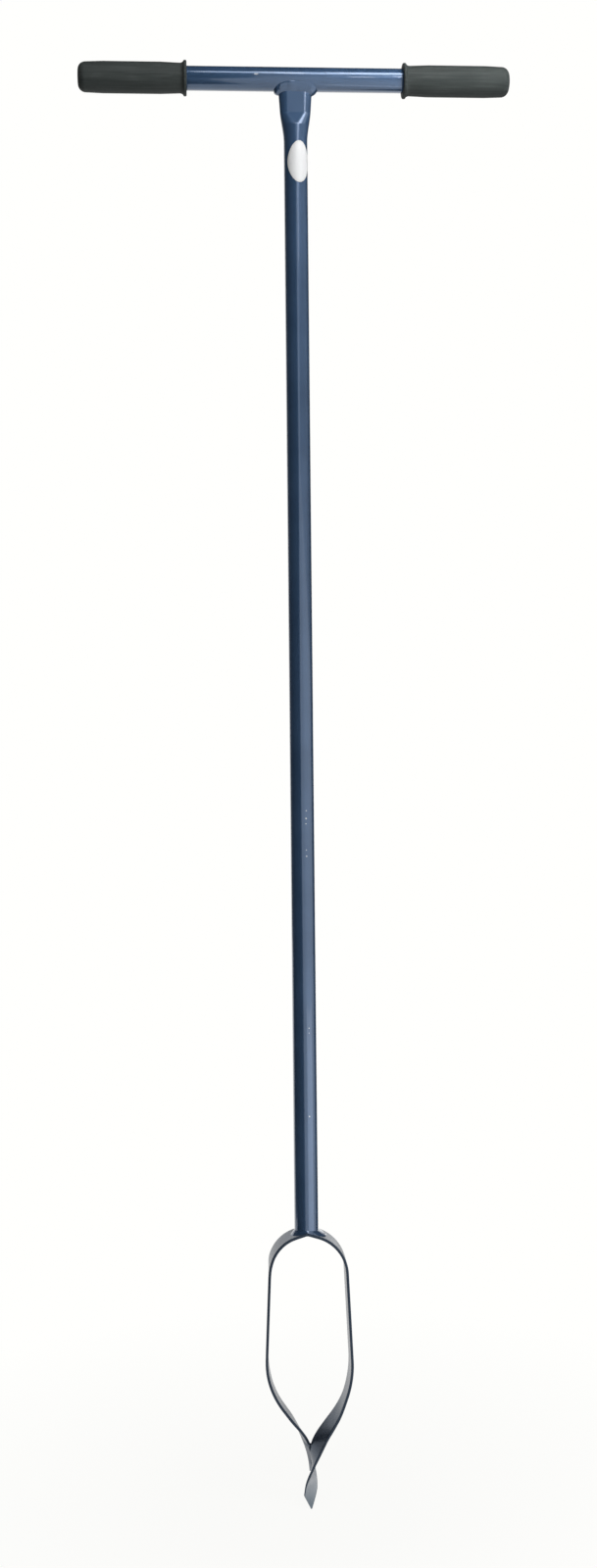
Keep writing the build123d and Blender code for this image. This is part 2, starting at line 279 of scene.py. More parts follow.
def makeBladeFinish():
    material, tree, shader = newMaterial("bladeEnamel")
    coords = put(tree, "TexCoord", {})
    blotch = noiseAt(tree, coords.outputs["Object"], bladeFinish["blotchScale"], 4)
    share = ramp(tree, blotch, *bladeFinish["blotchSpan"])
    paint = mixColour(tree, share, bladeFinish["deep"], bladeFinish["pale"])
    rolled = noiseAt(tree, coords.outputs["UV"], bladeFinish["rolledScale"], 4, bladeFinish["rolledStretch"])
    gloss = ramp(tree, rolled, *bladeFinish["rolledSpan"], *bladeFinish["gloss"])
    across = put(tree, "SeparateXYZ", {0: coords.outputs["UV"]}).outputs["Y"]
    fromMiddle = mathOf(tree, "ABSOLUTE", mathOf(tree, "SUBTRACT", across, 0.5), 0.0)
    edge = mathOf(tree, "ADD", fromMiddle, mathOf(tree, "MULTIPLY", blotch, bladeFinish["edgeRagged"]))
    height = put(tree, "SeparateXYZ", {0: coords.outputs["Object"]}).outputs["Z"]
    joined = mathOf(tree, "SUBTRACT", *[ramp(tree, height, *span) for span in bladeFinish["butt"]])
    joined = mathOf(tree, "MULTIPLY", joined, mathOf(tree, "GREATER_THAN", across, 0.5))
    edge = mathOf(tree, "SUBTRACT", ramp(tree, edge, *bladeFinish["edgeFrom"]), joined)
    edge = mathOf(tree, "MAXIMUM", edge, 0.0)
    # painted reflection: the point is drawn as pale bare steel, darker at its very end
    wearAndSheen = mathOf(tree, "ADD", height, mathOf(tree, "MULTIPLY", blotch, bladeFinish["pointSheenRagged"]))
    bareAndSheen = ramp(tree, wearAndSheen, *bladeFinish["steelSpan"])
    stain = ramp(tree, wearAndSheen, *bladeFinish["stainSpan"])
    steel = mixColour(tree, stain, bladeFinish["steel"], bladeFinish["stained"])
    skin = mixColour(tree, bareAndSheen, paint, steel)
    grain = noiseAt(tree, coords.outputs["Object"], bladeFinish["grainScale"], 3)
    bump = bumpOf(tree, grain, bladeFinish["grainStrength"], bladeFinish["grainDepth"])
    setShader(
        tree, shader,
        Base_Color=mixColour(tree, edge, skin, bladeFinish["edge"]),
        Metallic=ramp(tree, bareAndSheen, 0, 1, *bladeFinish["metallic"]),
        Roughness=gloss, Normal=bump, Coat_Weight=bladeFinish["coat"],
    )
    return material


# charcoal rubber, drawn lengthwise

rubber = {
    "dark": (0.034, 0.042, 0.041, 1),
    "dusty": (0.072, 0.084, 0.081, 1),
    "streakScale": 420,
    "streakStretch": (0.05, 1, 1),
    "streakSpan": (0.35, 0.75),
    "cloudScale": 45,
    "cloudSpan": (0.3, 0.7),
    "cloudShare": (0.4, 1.0),
    "grainScale": 2400,
    "grainSpan": (0.3, 0.7),
    "roughness": (0.62, 0.82),
    "relief": (0.6, 0.5),     # shares of streaks and grain
    "reliefStrength": 0.6,
    "reliefDepth": 0.00006,
}


def makeRubber():
    material, tree, shader = newMaterial("gripRubber")
    coords = put(tree, "TexCoord", {}).outputs["Object"]
    streaks = noiseAt(tree, coords, rubber["streakScale"], 4, rubber["streakStretch"])
    clouds = noiseAt(tree, coords, rubber["cloudScale"], 3)
    grain = noiseAt(tree, coords, rubber["grainScale"], 2)
    cloudy = ramp(tree, clouds, *rubber["cloudSpan"], *rubber["cloudShare"])
    dust = mathOf(tree, "MULTIPLY", ramp(tree, streaks, *rubber["streakSpan"]), cloudy)
    drawn, grainy = [mathOf(tree, "MULTIPLY", *pair) for pair in zip((streaks, grain), rubber["relief"])]
    relief = mathOf(tree, "ADD", drawn, grainy)
    bump = bumpOf(tree, relief, rubber["reliefStrength"], rubber["reliefDepth"])
    setShader(
        tree, shader,
        Base_Color=mixColour(tree, dust, rubber["dark"], rubber["dusty"]),
        Roughness=ramp(tree, grain, *rubber["grainSpan"], *rubber["roughness"]), Normal=bump,
    )
    return material


# blank white vinyl, a little soiled at the rim; the map runs from 0 to 1 across the oval

vinyl = {
    "white": (0.88, 0.89, 0.90, 1),
    "soiled": (0.60, 0.60, 0.58, 1),
    "rim": (0.43, 0.50),
    "speckScale": 500,
    "speckSpan": (0.3, 0.7),
    "roughness": (0.26, 0.40),
    "creaseScale": 260,
    "creaseStrength": 0.3,
    "creaseDepth": 0.00003,
}


def makeVinyl():
    material, tree, shader = newMaterial("labelVinyl")
    coords = put(tree, "TexCoord", {})
    middle = put(tree, "VectorMath", {0: coords.outputs["UV"], 1: (0.5, 0.5, 0)}, operation="DISTANCE")
    specks = noiseAt(tree, coords.outputs["Object"], vinyl["speckScale"], 4)
    soil = mathOf(tree, "MULTIPLY", ramp(tree, middle.outputs["Value"], *vinyl["rim"]), specks)
    creases = noiseAt(tree, coords.outputs["Object"], vinyl["creaseScale"], 2)
    bump = bumpOf(tree, creases, vinyl["creaseStrength"], vinyl["creaseDepth"])
    setShader(
        tree, shader,
        Base_Color=mixColour(tree, soil, vinyl["white"], vinyl["soiled"]),
        Roughness=ramp(tree, specks, *vinyl["speckSpan"], *vinyl["roughness"]), Normal=bump,
    )
    return material


navyEnamel = makeEnamel()
bladeEnamel = makeBladeFinish()
gripRubber = makeRubber()
labelVinyl = makeVinyl()
print("finishes ready")


# crossbar, a plain tube whose ends run inside the grips

crossbar = {"segments": 128, "wall": 0.002, "edgeRound": 0.0004}

barLow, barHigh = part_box("crossbar_tube")
barMiddle = (barLow + barHigh) / 2
barRadius = (barHigh.y - barLow.y) / 2


def makeCrossbar():
    startClean()
    bpy.ops.mesh.primitive_cylinder_add(
        vertices=crossbar["segments"], radius=barRadius, depth=barHigh.x - barLow.x,
        end_fill_type="NOTHING", location=barMiddle, rotation=(0, math.pi / 2, 0),
    )
    tube = bpy.context.object
    cleanMesh(tube)
    useModifier(tube, "SOLIDIFY", thickness=crossbar["wall"], offset=-1)
    roundEdges(tube, crossbar["edgeRound"])
    return tube


seatPiece(makeCrossbar(), "crossbarTube", "crossbar_tube", navyEnamel)


# strip lines and sizes of the blades; the shaft's foot and the welds sit on the crown

blade = {
    "width": 0.030,
    "thickness": 0.0028,
    "noseThickness": 0.0012,
    "thinHeight": 0.060,
    "taperHeight": 0.152,
    "crownHeight": 0.2915,
    "armSlope": 17.0,
    "seamGap": 0.0009,
    "throwSpan": (0.150, 0.066),     # heights between which a change comes in
    "fineSteps": 6000,
    "stations": 320,
    "across": 14,
    "edgeRound": 0.0004,
}

armFall = math.tan(math.radians(blade["armSlope"]))
crownTop = blade["crownHeight"] + blade["thickness"] / 2 / math.cos(math.radians(blade["armSlope"]))


def bentLine(corners, radii, steps):
    # evenly spaced places along straight runs joined by tangent arcs
    corners = [Vector(corner) for corner in corners]
    stretches = []
    start = corners[0]
    for before, corner, after, radius in zip(corners, corners[1:], corners[2:], radii):
        inward = (corner - before).normalized()
        outward = (after - corner).normalized()
        turn = inward.angle_signed(outward)
        tangent = radius * math.tan(abs(turn) / 2)
        stretches.append((start, inward, (corner - inward * tangent - start).length, 0.0))
        stretches.append((corner - inward * tangent, inward, radius * abs(turn), turn))
        start = corner + outward * tangent
    last = corners[-1] - start
    stretches.append((start, last.normalized(), last.length, 0.0))
    total = sum(stretch[2] for stretch in stretches)
    places = []
    for step in range(steps + 1):
        left = total * step / steps
        for begin, heading, length, turn in stretches:
            if left <= length or (begin, heading) == stretches[-1][:2]:
                break
            left -= length
        if turn:
            angle = turn * left / length
            radius = length / abs(turn)
            side = Vector((heading.y, -heading.x)) * math.copysign(radius, turn)
            places.append(begin + side - Matrix.Rotation(-angle, 2) @ side)
        else:
            places.append(begin + heading * left)
    return places


def stripLine(strip):
    seamEdge = blade["seamGap"] / 2
    corners = [
        (seamEdge, blade["crownHeight"] - seamEdge * armFall),
        (strip["armReach"], blade["crownHeight"] - strip["armReach"] * armFall),
        strip["shoulder"], strip["neck"], strip["end"],
    ]
    return bentLine(corners, strip["radii"], blade["fineSteps"])


def comeIn(height, span):
    return softStep((span[0] - height) / (span[0] - span[1]))


def between(first, second, share):
    return first + (second - first) * min(max(share, 0.0), 1.0)


def stripThickness(height):
    return between(blade["noseThickness"], blade["thickness"], height / blade["thinHeight"])


# the right strip runs on through the neck to the point

rightStrip = {
    "armReach": 0.0402,
    "shoulder": (0.0472, 0.1234),
    "neck": (0.0056, 0.0667),
    "end": (0.0003, 0.0),
    "radii": (0.0425, 0.0975, 0.0668),
    "throw": 0.0075,
    "pointForward": 0.0020,
    "returnSpan": (0.066, 0.020),
    "relief": 32.0,
    "reliefSpan": (0.119, 0.066),
    "screw": 111.0,
    "screwSpan": (0.073, 0.004),
    "pointHeight": 0.020,
    "edgeHeight": 0.0148,
    "pointWidth": 0.0145,
    "noseOffset": 0.0020,
    "noseWidth": 0.0012,
}


def rightSection(height):
    # throw to the front, turn, and the widths before and behind the middle line
    strip = rightStrip
    forward = strip["throw"] * comeIn(height, blade["throwSpan"])
    forward -= (strip["throw"] - strip["pointForward"]) * comeIn(height, strip["returnSpan"])
    turn = strip["relief"] * comeIn(height, strip["reliefSpan"])
    turn -= strip["screw"] * comeIn(height, strip["screwSpan"])
    taper = (blade["taperHeight"] - height) / (blade["taperHeight"] - strip["pointHeight"])
    half = between(blade["width"], strip["pointWidth"], taper) / 2
    front = between(strip["noseWidth"] / 2 - strip["noseOffset"], half, height / strip["edgeHeight"])
    back = between(strip["noseWidth"] / 2 + strip["noseOffset"], half, height / strip["pointHeight"])
    return forward, math.radians(turn), front, back


# the left strip ends in a tail along the right one's trailing edge

leftStrip = {
    "armReach": 0.0376,
    "shoulder": (0.0440, 0.1315),
    "neck": (-0.0029, 0.0635),
    "end": (-0.0034, 0.0325),
    "radii": (0.0376, 0.0934, 0.080),
    "throw": 0.0065,
    "relief": 23.0,
    "reliefSpan": (0.096, 0.065),
    "askew": 3.2,                     # the upright part isn't quite square to the crossbar
    "askewSpans": ((0.264, 0.246), (0.150, 0.108)),
    "meetHeight": 0.066,
    "meetEase": 0.006,
    "meetWidth": 0.013,
    "tailWidth": 0.005,
    "tailHeight": 0.0345,
    "tailSlant": 20.0,
    "buttGap": 0.00005,
}


def leftSection(height):
    strip = leftStrip
    meet = strip["meetHeight"]
    forward = strip["throw"] * comeIn(height, blade["throwSpan"])
    begun, over = [comeIn(height, span) for span in strip["askewSpans"]]
    turn = strip["relief"] * comeIn(height, strip["reliefSpan"]) - strip["askew"] * (begun - over)
    taper = (blade["taperHeight"] - height) / (blade["taperHeight"] - meet)
    width = between(blade["width"], strip["meetWidth"], taper)
    width -= between(0, strip["meetWidth"] - strip["tailWidth"], (meet - height) / (meet - strip["end"][1]))
    return forward, math.radians(turn), width / 2, width / 2


def makeStrip(line, sectionAt, side):
    # a flat grid bent along the line, then given its thickness; side -1 turns it half round
    startClean()
    bpy.ops.mesh.primitive_grid_add(x_subdivisions=blade["stations"], y_subdivisions=blade["across"], size=1)
    strip = bpy.context.object
    thickness = strip.vertex_groups.new(name="thickness")
    for vertex in strip.data.vertices:
        place = line[round((vertex.co.x + 0.5) * (len(line) - 1))]
        forward, turn, front, back = sectionAt(place.y)
        across = vertex.co.y * (front + back) + (back - front) / 2
        vertex.co = (
            side * (place.x - across * math.sin(turn)),
            side * (across * math.cos(turn) - forward),
            place.y,
        )
        thickness.add([vertex.index], stripThickness(place.y) / blade["thickness"], "REPLACE")
    useModifier(
        strip, "SOLIDIFY", thickness=blade["thickness"], offset=0, use_even_offset=True,
        vertex_group="thickness", thickness_vertex_group=0,
    )
    return strip


rightLine = stripLine(rightStrip)
leftLine = stripLine(leftStrip)

# where the right strip's middle line runs in the neck, looked up by height

neckTable = {"perMetre": 10000, "top": 0.076}
neckReach = {
    round(place.y * neckTable["perMetre"]): place.x
    for place in rightLine if place.y < neckTable["top"]
}


def neckAt(height):
    return neckReach[round(height * neckTable["perMetre"])]


def fromTrailingEdge(point):
    # how far a point lies behind the right strip's trailing edge, and off its middle plane
    forward, turn, front, back = rightSection(point.z)
    aside = point.x - neckAt(point.z)
    behind = (point.y + forward) * math.cos(turn) - aside * math.sin(turn)
    off = -aside * math.cos(turn) - (point.y + forward) * math.sin(turn)
    return behind - back - leftStrip["buttGap"], off


def trimTail(strip):
    # the tail's front edge slides back to the trailing edge of the right strip, each face by itself; lower
    # down it leans over to that edge's corner, and its end is cut on a slant
    vertices = strip.data.vertices
    columns = blade["across"] + 1
    rows = blade["stations"] + 1
    for row in range(rows):
        ends = []
        for sheet in range(2):
            spots = [sheet * rows * columns + column * rows + row for column in range(columns)]
            lead = vertices[spots[0]].co.copy()
            trail = vertices[spots[-1]].co.copy()
            trim = softStep(1 + (leftStrip["meetHeight"] - trail.z) / leftStrip["meetEase"])
            past = fromTrailingEdge(trail)[0] if trim else 0.0
            if past < 0:
                reach = fromTrailingEdge(lead)[0]
                trail += (trail - lead) * past / (reach - past) * trim
            ends.append((spots, lead, trail))
        lean = Vector((0, 0, 0))
        height = ends[0][2].z
        if height < leftStrip["meetHeight"]:
            turn = rightSection(height)[1]
            off = sum(fromTrailingEdge(trail)[1] for spots, lead, trail in ends) / 2
            corner = stripThickness(height) / 2
            lean = Vector((math.cos(turn), math.sin(turn), 0)) * max(off - corner, 0.0)
        for spots, lead, trail in ends:
            for column, spot in enumerate(spots):
                vertices[spot].co = lead + (trail + lean - lead) * column / (columns - 1)
    slant = math.radians(leftStrip["tailSlant"])
    pickOnly(strip)
    bpy.ops.object.mode_set(mode="EDIT")
    bpy.ops.mesh.select_all(action="SELECT")
    bpy.ops.mesh.bisect(
        plane_co=(0, 0, leftStrip["tailHeight"]), plane_no=(-math.sin(slant), 0, math.cos(slant)),
        use_fill=True, clear_inner=True,
    )
    bpy.ops.object.mode_set(mode="OBJECT")


def finishStrip(strip):
    roundEdges(strip, blade["edgeRound"])
    cleanMesh(strip)
    return strip


rightBlade = finishStrip(makeStrip(rightLine, rightSection, 1))
seatPiece(rightBlade, "rightBlade", "right_blade", bladeEnamel)
leftBlade = makeStrip(leftLine, leftSection, -1)
trimTail(leftBlade)
seatPiece(finishStrip(leftBlade), "leftBlade", "left_blade", bladeEnamel)


# shaft, squeezed at the top and cut to the crossbar and the crown

shaft = {
    "segments": 160,
    "radius": 0.0125,
    "wall": 0.002,
    "spread": 0.0120,
    "growth": 0.0041,
    "flatLength": 0.0235,
    "flatHalfWidth": 0.0082,
    "flatHalfDepth": 0.0062,
    "neckLength": 0.031,
    "neckEase": 1.7,
    "rampLength": 0.0135,       # below the crease the flat runs out in a triangle
    "rampSoft": 0.004,          # share of the ramp that is rounded at its foot
    "ringStep": 0.0004,
    "smoothAngle": 18,
}

creaseHeight = barMiddle.z - barRadius - shaft["flatLength"]
neckBottom = creaseHeight - shaft["neckLength"]
endHalfWidth = shaft["radius"] + shaft["spread"] / 2
creaseHalfWidth = endHalfWidth - shaft["growth"] / 2


def softBend(run, soft):
    # 0 below the bend and the run above it, with a short curve between
    return max(run, 0.0) if abs(run) > soft else (run + soft) ** 2 / (4 * soft)


def shaftSizes(height):
    # half width of the tube, half width of its flat, and half depth
    share = min(max((height - neckBottom) / shaft["neckLength"], 0.0), 1.0)
    run = shaft["neckLength"] + shaft["growth"] * shaft["neckEase"]
    halfWidth = between(shaft["radius"], creaseHalfWidth, softStep(share * shaft["neckLength"] / run))
    if height > creaseHeight:
        above = (height - creaseHeight) / (barMiddle.z - creaseHeight)
        halfWidth = between(halfWidth, endHalfWidth, above)
    pressed = min(softBend(1 - (creaseHeight - height) / shaft["rampLength"], shaft["rampSoft"]), 1.0)
    flat = shaft["flatHalfWidth"] * pressed
    return halfWidth, flat, between(shaft["radius"], shaft["flatHalfDepth"], pressed)


def shaftOutline(angle, height):
    # place and outward direction on the squeezed outline: two flats joined by rounded sides
    halfWidth, flat, halfDepth = shaftSizes(height)
    quarter = abs(math.asin(math.sin(angle)))
    side = math.pi / 4 * (halfWidth - flat + halfDepth)
    run = (side + flat) * quarter / (math.pi / 2)
    turn = min(run / side, 1.0) * math.pi / 2
    along = flat - max(run - side, 0.0) + (halfWidth - flat) * math.cos(turn)
    wall = Vector((halfDepth * math.cos(turn), (halfWidth - flat) * math.sin(turn))).normalized()
    signs = Vector((math.copysign(1, math.cos(angle)), math.copysign(1, math.sin(angle))))
    return Vector((along, halfDepth * math.sin(turn))) * signs, wall * signs


def makeShaft():
    foot = crownTop - shaft["radius"]
    top = barMiddle.z
    startClean()
    bpy.ops.mesh.primitive_cylinder_add(
        vertices=shaft["segments"], radius=shaft["radius"], depth=top - foot,
        end_fill_type="NOTHING", location=(0, 0, (top + foot) / 2),
    )
    tube = bpy.context.object
    cleanMesh(tube)
    lastRing = barMiddle.z - barRadius - shaft["ringStep"]
    rings = [crownTop + shaft["ringStep"], (crownTop + neckBottom) / 2]
    for low, high in ((neckBottom, creaseHeight), (creaseHeight, lastRing)):
        count = round((high - low) / shaft["ringStep"])
        rings += [low + (high - low) * step / count for step in range(count)]
    cutRings(tube, rings + [lastRing])
    for vertex in tube.data.vertices:
        angle = math.atan2(vertex.co.y, vertex.co.x)
        if vertex.co.z > neckBottom:
            vertex.co.xy = shaftOutline(angle, min(vertex.co.z, lastRing))[0]
        if vertex.co.z > lastRing + shaft["ringStep"]:
            vertex.co.z = barMiddle.z - math.sqrt(barRadius ** 2 - vertex.co.y ** 2)
        if vertex.co.z < crownTop:
            vertex.co.z = crownTop - abs(vertex.co.x) * armFall
    useModifier(tube, "SOLIDIFY", thickness=shaft["wall"], offset=-1, use_even_offset=True)
    return tube


seatPiece(makeShaft(), "shaftTube", "shaft_tube", navyEnamel, shaft["smoothAngle"])


# welds: a filleted ring is swept round its corner; a bead is a row of puddles melted into one

weld = {
    "stations": 480,
    "profile": 18,
    "root": 0.0008,
    "sink": 0.00015,         # how far the toes go under the skin
    "wander": 0.10,          # the toes' share of unevenness
    "wanderScale": 130,
    "ripple": 0.035,
    "rippleScale": 650,
    "pitch": 0.0017,
    "crescent": (0.008, 0.9),    # height of the ripples and how far they bow back at the toes
    "alongShare": 0.75,      # half length of a puddle, as a share of its half width
    "uneven": 0.04,
    "seed": 11,
    "puddleMesh": (20, 12),
    "voxel": 0.00038,
    "smoothing": 9,
    "smoothAngle": 60,
}

chance = random.Random(weld["seed"])


def sweepRing(rounds):
    # every round has the corner, the two toes and the share by which the metal swells between them
    startClean()
    rows = len(rounds) - 1
    columns = weld["profile"]
    travelled = [0.0]
    for before, after in zip(rounds, rounds[1:]):
        travelled.append(travelled[-1] + (after[0] - before[0]).length)
    crescents = round(travelled[-1] / weld["pitch"])
    rise, bow = weld["crescent"]
    bpy.ops.mesh.primitive_grid_add(x_subdivisions=rows, y_subdivisions=columns, size=1)
    ring = bpy.context.object
    for vertex in ring.data.vertices:
        row = round((vertex.co.x + 0.5) * rows)
        corner, first, second, swell = rounds[row]
        column = round((vertex.co.y + 0.5) * columns)
        spread = first + second - 2 * corner
        if column in (0, columns):
            vertex.co = corner - spread.normalized() * weld["root"]
        else:
            share = (column - 1) / (columns - 2)
            phase = crescents * travelled[row] / travelled[-1] + bow * (2 * share - 1) ** 2
            middle = corner + spread * (swell + rise * math.cos(2 * math.pi * phase))
            vertex.co = first * (1 - share) ** 2 + middle * 2 * share * (1 - share) + second * share ** 2
    cleanMesh(ring)
    return ring


def unevenAt(place):
    # slow changes for the toes and fine ripples for the swelling
    toes = 1 + weld["wander"] * noise.noise(place * weld["wanderScale"])
    return toes, weld["ripple"] * noise.noise(place * weld["rippleScale"])


def layPass(path, size):
    # one puddle for every pitch of the path
    travelled = weld["pitch"]
    halfAcross, halfHigh = size
    segments, rings = weld["puddleMesh"]
    for (place, along, lift), (following, _, _) in zip(path, path[1:]):
        if travelled >= weld["pitch"]:
            travelled -= weld["pitch"]
            scale = 1 + weld["uneven"] * (2 * chance.random() - 1)
            turned = Matrix((along, lift.cross(along), lift)).transposed()
            bpy.ops.mesh.primitive_uv_sphere_add(
                segments=segments, ring_count=rings, radius=1.0, location=place, rotation=turned.to_euler(),
                scale=(halfAcross * weld["alongShare"] * scale, halfAcross * scale, halfHigh * scale),
            )
        travelled += (following - place).length


def startBead():
    startClean()
    bpy.ops.mesh.primitive_cube_add(size=0.001)
    bead = bpy.context.object
    bpy.ops.object.mode_set(mode="EDIT")
    bpy.ops.mesh.delete(type="VERT")
    return bead


def meltBead(bead):
    bpy.ops.object.mode_set(mode="OBJECT")
    bead.data.remesh_voxel_size = weld["voxel"]
    pickOnly(bead)
    bpy.ops.object.voxel_remesh()
    useModifier(bead, "SMOOTH", factor=0.5, iterations=weld["smoothing"])
    cleanMesh(bead)
    return bead


def pitBead(bead, place, radius, depth):
    # the skin is pushed in
    for vertex in bead.data.vertices:
        near = 1 - (vertex.co - Vector(place)).length / radius
        if near > 0:
            vertex.co -= vertex.normal * depth * softStep(near)


def turnRound():
    return [2 * math.pi * step / weld["stations"] for step in range(weld["stations"] + 1)]


# the ring at the crossbar: broad in front, with a lump at the left end, and fuller on the right where the
# second pass lies over the first

barWeld = {
    "onBar": (0.0082, 0.0050),       # leg in front and at the sides
    "onShaft": (0.0034, 0.0044),
    "swell": (1.02, 0.66),
    "hump": (0.27, -0.0042, 0.0080),     # how much fuller left of the middle, where, and how far out
    "lump": (0.22, 0.5),             # how much fuller, and how far left the wall faces where it begins
    "lap": (0.12, 0.0030, 0.0040),   # how much fuller, where, and over what distance it begins
}


def barWeldRounds():
    rounds = []
    under = barMiddle.z - barRadius
    sunk = barRadius - weld["sink"]
    rise, middle, reach = barWeld["hump"]
    lumpRise, leftward = barWeld["lump"]
    lapRise, lapMiddle, lapReach = barWeld["lap"]
    for angle in turnRound():
        place, wall = shaftOutline(angle, under)
        bend = math.asin(place.y / barRadius)
        corner = Vector((*place, barMiddle.z - barRadius * math.cos(bend)))
        side = wall.x ** 2
        toes, ripple = unevenAt(corner)
        fuller = 1 + lapRise * softStep(0.5 + (place.x - lapMiddle) / lapReach)
        onBar = between(*barWeld["onBar"], side) * toes * fuller
        onShaft = between(*barWeld["onShaft"], side) * toes * fuller
        lump = lumpRise * softStep((-wall.x - leftward) / (1 - leftward))
        lump += rise * softStep(1 - abs(place.x - middle) / reach) * abs(wall.y)
        bend += wall.y * onBar / barRadius
        upper = Vector((place.x + wall.x * onBar, sunk * math.sin(bend), barMiddle.z - sunk * math.cos(bend)))
        lower = corner - Vector((wall.x * weld["sink"], wall.y * weld["sink"], onShaft))
        rounds.append((corner, lower, upper, between(*barWeld["swell"], side) + lump + ripple))
    return rounds


barBead = sweepRing(barWeldRounds())
seatPiece(barBead, "crossbarBead", "crossbar_weld", navyEnamel, weld["smoothAngle"])


# the ring at the foot, hollow on the left arm, long on the right one and slight over the strip's edges

footWeld = {
    "onArm": (0.0022, 0.0042, 0.0088),      # leg in front, on the left and on the right
    "onShaft": (0.0030, 0.0050, 0.0036),
    "swell": (0.50, 0.36, 0.62),
    "edge": 0.0149,
    "ridge": 0.0030,        # the toe on the shaft runs round over the crown's ridge
    "pit": (enamel["pit"][0], 0.0018, 0.0009),      # place, radius and depth of a gas pore
}


def footWeldRounds():
    rounds = []
    for angle in turnRound():
        wall = Vector((math.cos(angle), math.sin(angle), 0))
        corner = wall * shaft["radius"]
        corner.z = crownTop - abs(corner.x) * armFall
        toes, ripple = unevenAt(corner)
        arm = 2 if wall.x > 0 else 1
        onArm, onShaft, swell = [
            between(footWeld[key][0], footWeld[key][arm], wall.x ** 2)
            for key in ("onArm", "onShaft", "swell")
        ]
        outer = corner + wall * onArm * toes
        outer.y = max(min(outer.y, footWeld["edge"]), -footWeld["edge"])
        outer.z = crownTop - abs(outer.x) * armFall - weld["sink"]
        upper = corner - wall * weld["sink"] + Vector((0, 0, onShaft * toes))
        upper.z -= (math.hypot(corner.x, footWeld["ridge"]) - abs(corner.x)) * armFall
        rounds.append((corner, upper, outer, swell + ripple))
    return rounds


footBead = sweepRing(footWeldRounds())
pitBead(footBead, *footWeld["pit"])
seatPiece(footBead, "footBead", "foot_weld", navyEnamel, weld["smoothAngle"])


# the butt seam under the crown, filled from edge to edge and a little proud underneath

seamWeld = {
    "halfWidth": (0.0010, 0.0013),       # underneath and on top
    "proud": 0.0004,
    "ripple": 0.5,                       # as a share of that
    "squareness": 0.60,
    "reach": 0.0149,
    "edgeRound": 0.0003,
    "sides": 40,
    "ringStep": 0.0005,
}


def makeSeam():
    halfHeight = crownTop - blade["crownHeight"]
    startClean()
    bpy.ops.mesh.primitive_cylinder_add(
        vertices=seamWeld["sides"], radius=1, depth=2 * seamWeld["reach"], rotation=(math.pi / 2, 0, 0),
    )
    fill = bpy.context.object
    cleanMesh(fill)
    count = round(2 * seamWeld["reach"] / seamWeld["ringStep"])
    cutRings(fill, [seamWeld["reach"] * (2 * step / count - 1) for step in range(1, count)], (0, 1, 0))
    for vertex in fill.data.vertices:
        aside, lift = [math.copysign(abs(value) ** seamWeld["squareness"], value) for value in vertex.co.xz]
        ripple = 1 + seamWeld["ripple"] * math.cos(2 * math.pi * vertex.co.y / weld["pitch"])
        high = halfHeight if lift > 0 else halfHeight + seamWeld["proud"] * ripple
        vertex.co.x = aside * between(*seamWeld["halfWidth"], lift / 2 + 0.5)
        vertex.co.z = blade["crownHeight"] - abs(vertex.co.x) * armFall + lift * high
    for corner in fill.data.uv_layers.active.data:      # painted as the strips' edges are
        corner.uv.y = 0.0
    roundEdges(fill, seamWeld["edgeRound"])
    return fill


seatPiece(makeSeam(), "crownSeamBead", "crown_seam_weld", bladeEnamel, weld["smoothAngle"])


# a short bead behind the butted edges, where the neck starts

pointWeld = {"puddle": (0.0020, 0.0016), "top": 0.0655, "low": 0.0470, "steps": 160}


def pointPath():
    path = []
    for step in range(pointWeld["steps"] + 1):
        height = between(pointWeld["top"], pointWeld["low"], step / pointWeld["steps"])
        forward, turn, front, back = rightSection(height)
        outward = Vector((math.cos(turn), math.sin(turn), 0))
        across = Vector((-math.sin(turn), math.cos(turn), 0))
        place = Vector((neckAt(height), -forward, height))
        place += across * back + outward * stripThickness(height) / 2
        path.append((place, Vector((0, 0, -1)), outward))
    return path


bead = startBead()
layPass(pointPath(), pointWeld["puddle"])
seatPiece(meltBead(bead), "pointBead", "point_weld", navyEnamel, weld["smoothAngle"])


# grips, turned about the crossbar from the open flange to the closed end

grip = {
    "segments": 128,
    "bore": 0.01255,
    "flange": 0.0182,
    "flangeThickness": 0.0034,
    "flangeRim": 0.0012,
    "hollow": 0.0148,
    "hollowLength": 0.0060,
    "barrel": 0.0161,
    "barrelEnd": 0.0154,
    "straight": 0.060,
    "endRadius": 0.008,
    "endWall": 0.0035,
    "arcSteps": 10,
}


def arc(centre, radius, start, end):
    points = []
    for step in range(grip["arcSteps"] + 1):
        angle = math.radians(start + (end - start) * step / grip["arcSteps"])
        points.append((centre[0] + radius * math.cos(angle), centre[1] + radius * math.sin(angle)))
    return points


def gripOutline(length):
    # distance from the flange and distance from the axis
    rim = grip["flangeRim"]
    neckFrom = grip["flangeThickness"]
    neckTo = neckFrom + grip["hollowLength"]
    barrelTo = length - grip["endRadius"]
    straightFrom = (neckTo + barrelTo - grip["straight"]) / 2
    outline = [(length - grip["endWall"], 0.0), (length - grip["endWall"], grip["bore"]), (0.0, grip["bore"])]
    outline += arc((rim, grip["flange"] - rim), rim, 180, 90)
    outline += arc((neckFrom - rim, grip["flange"] - rim), rim, 90, 0)
    for step in range(1, grip["arcSteps"] + 1):
        share = step / grip["arcSteps"]
        dip = (grip["flange"] - rim) * (1 - share) ** 3 + grip["barrelEnd"] * share ** 2 * (3 - 2 * share)
        dip += 3 * grip["hollow"] * share * (1 - share) ** 2
        outline.append((neckFrom + grip["hollowLength"] * share, max(dip, grip["hollow"])))
    outline += [(straightFrom, grip["barrel"]), (straightFrom + grip["straight"], grip["barrel"])]
    outline += arc((barrelTo, grip["barrelEnd"] - grip["endRadius"]), grip["endRadius"], 90, 0)
    outline.append((length, 0.0))
    return outline


